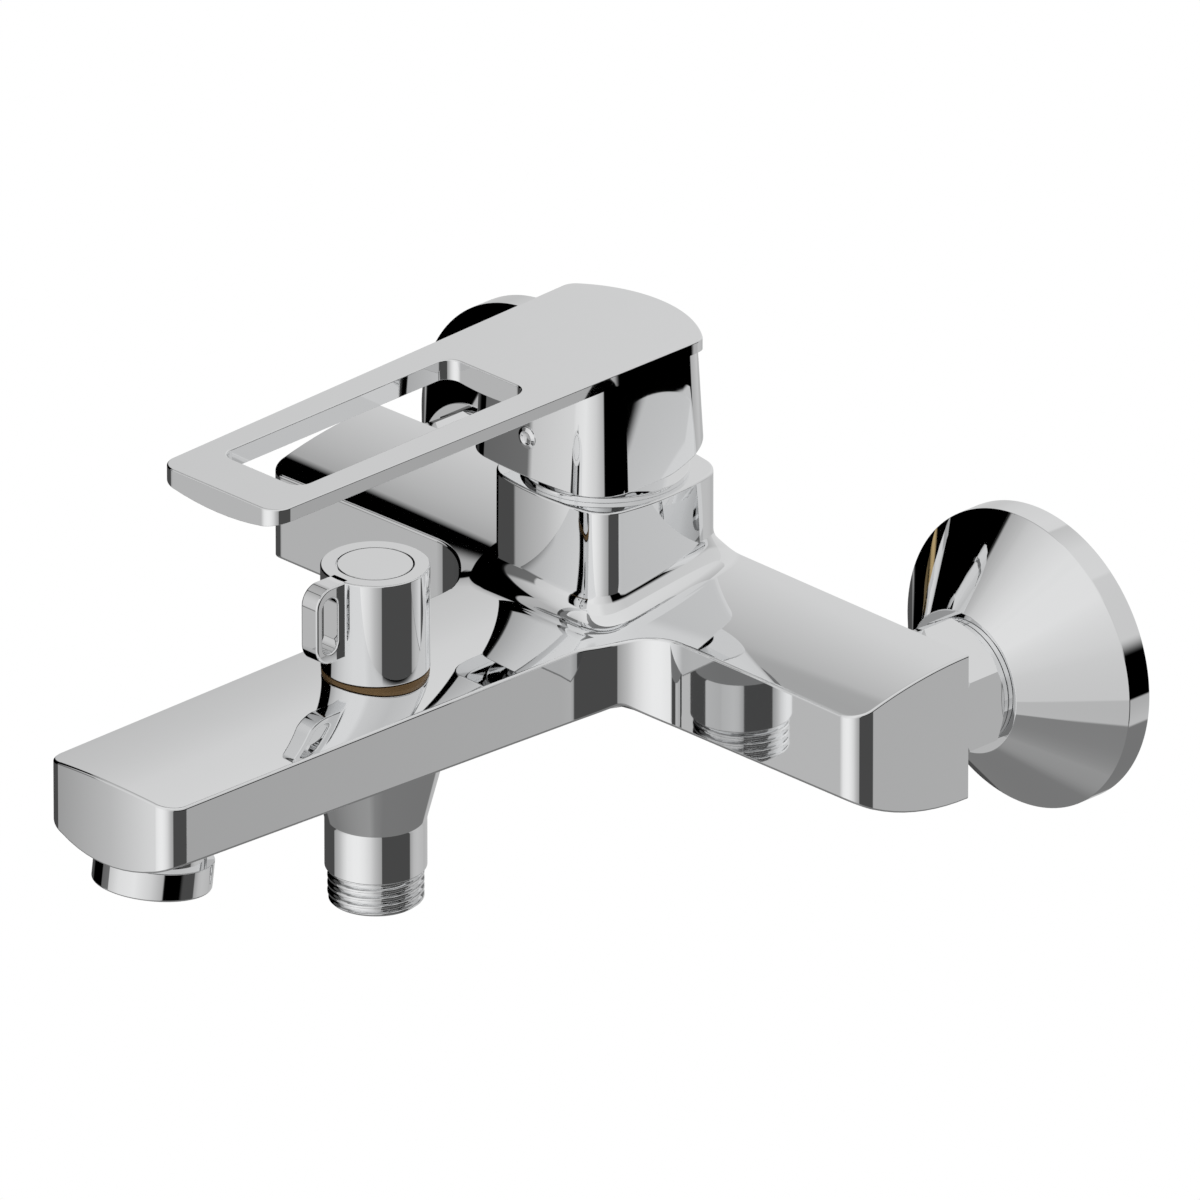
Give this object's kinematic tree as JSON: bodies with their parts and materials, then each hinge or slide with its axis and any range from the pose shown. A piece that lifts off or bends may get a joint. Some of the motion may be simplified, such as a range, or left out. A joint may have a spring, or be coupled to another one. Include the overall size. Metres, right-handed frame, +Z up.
{
  "type": "wall mounted bath faucet",
  "caption": "Chrome wall mounted single-lever bath faucet with spout, diverter knob, shower outlet, union nuts and round escutcheons.",
  "frame": {"origin": "on the wall plane, midway between the axes of the two wall inlets", "axes": "+Y into the wall along the inlets, +Z up, +X along the wall to the user's right"},
  "size_m": [0.2176, 0.223, 0.1136],
  "materials": {
    "chrome": "polished",
    "brass": "machined",
    "seat_ring": "oiled",
    "ceramic": "lapped",
    "plastic": "matte",
    "rubber": "matte",
    "steel": "turned"
  },
  "bodies": {
    "body": {"body_casting": "chrome", "left_wall_union": "brass", "right_wall_union": "brass", "left_filter_washer": "rubber", "right_filter_washer": "rubber", "left_tailpiece": "brass", "right_tailpiece": "brass", "cartridge_base": "plastic", "cartridge_seals": "rubber", "fixed_ceramic_disc": "ceramic", "cartridge_housing": "plastic", "cartridge_nut": "brass", "dome_cap": "chrome", "diverter_bonnet": "brass", "diverter_base_ring": "seat_ring", "outlet_nipple": "chrome", "check_valve": "plastic", "aerator_housing": "chrome", "aerator_insert": "plastic", "aerator_seal": "rubber"},
    "lever_turner": {"cartridge_rotor": "plastic", "pivot_pin": "steel"},
    "lever": {"cartridge_spindle": "brass", "lever_handle": "chrome", "lever_set_screw": "steel", "index_plug": "chrome"},
    "mixing_disc": {"moving_ceramic_disc": "ceramic", "disc_carrier": "plastic"},
    "diverter": {"diverter_rotor": "brass", "diverter_knob": "chrome", "knob_screw": "steel", "knob_index_disc": "chrome"},
    "left_nut": {"left_union_nut": "chrome"},
    "right_nut": {"right_union_nut": "chrome"},
    "left_flange": {"left_escutcheon": "chrome"},
    "right_flange": {"right_escutcheon": "chrome"},
    "valve_poppet": {"check_poppet": "rubber"}
  },
  "joints": [
    {"name": "lever_turn", "type": "hinge", "parent": "body", "child": "lever_turner", "pos_m": [0, -0.057, 0.04], "axis": [0, 0, 1], "range_deg": [-45, 45]},
    {"name": "lever_lift", "type": "hinge", "parent": "lever_turner", "child": "lever", "pos_m": [0, -0.057, 0.04], "axis": [-1, 0, 0], "range_deg": [0, 22]},
    {"name": "disc_slide", "type": "slide", "parent": "lever_turner", "child": "mixing_disc", "axis": [0, -1, 0], "range_m": [0, 0.00565]},
    {"name": "diverter_turn", "type": "hinge", "parent": "body", "child": "diverter", "pos_m": [0, -0.126, 0.0125], "axis": [0, 0, 1], "range_deg": [0, 90]},
    {"name": "left_nut_spin", "type": "hinge", "parent": "body", "child": "left_nut", "pos_m": [-0.075, -0.03, 0], "axis": [0, 1, 0], "continuous": true},
    {"name": "right_nut_spin", "type": "hinge", "parent": "body", "child": "right_nut", "pos_m": [0.075, -0.03, 0], "axis": [0, 1, 0], "continuous": true},
    {"name": "left_flange_spin", "type": "hinge", "parent": "body", "child": "left_flange", "pos_m": [-0.075, -0.01, 0], "axis": [0, 1, 0], "continuous": true},
    {"name": "right_flange_spin", "type": "hinge", "parent": "body", "child": "right_flange", "pos_m": [0.075, -0.01, 0], "axis": [0, 1, 0], "continuous": true},
    {"name": "poppet_slide", "type": "slide", "parent": "body", "child": "valve_poppet", "axis": [0, 0, -1], "range_m": [0, 0.004], "stiffness_N_per_m": 20}
  ],
  "couplings": [
    {"joint": "disc_slide", "follows": "lever_lift", "m_per_rad": 0.0146}
  ]
}
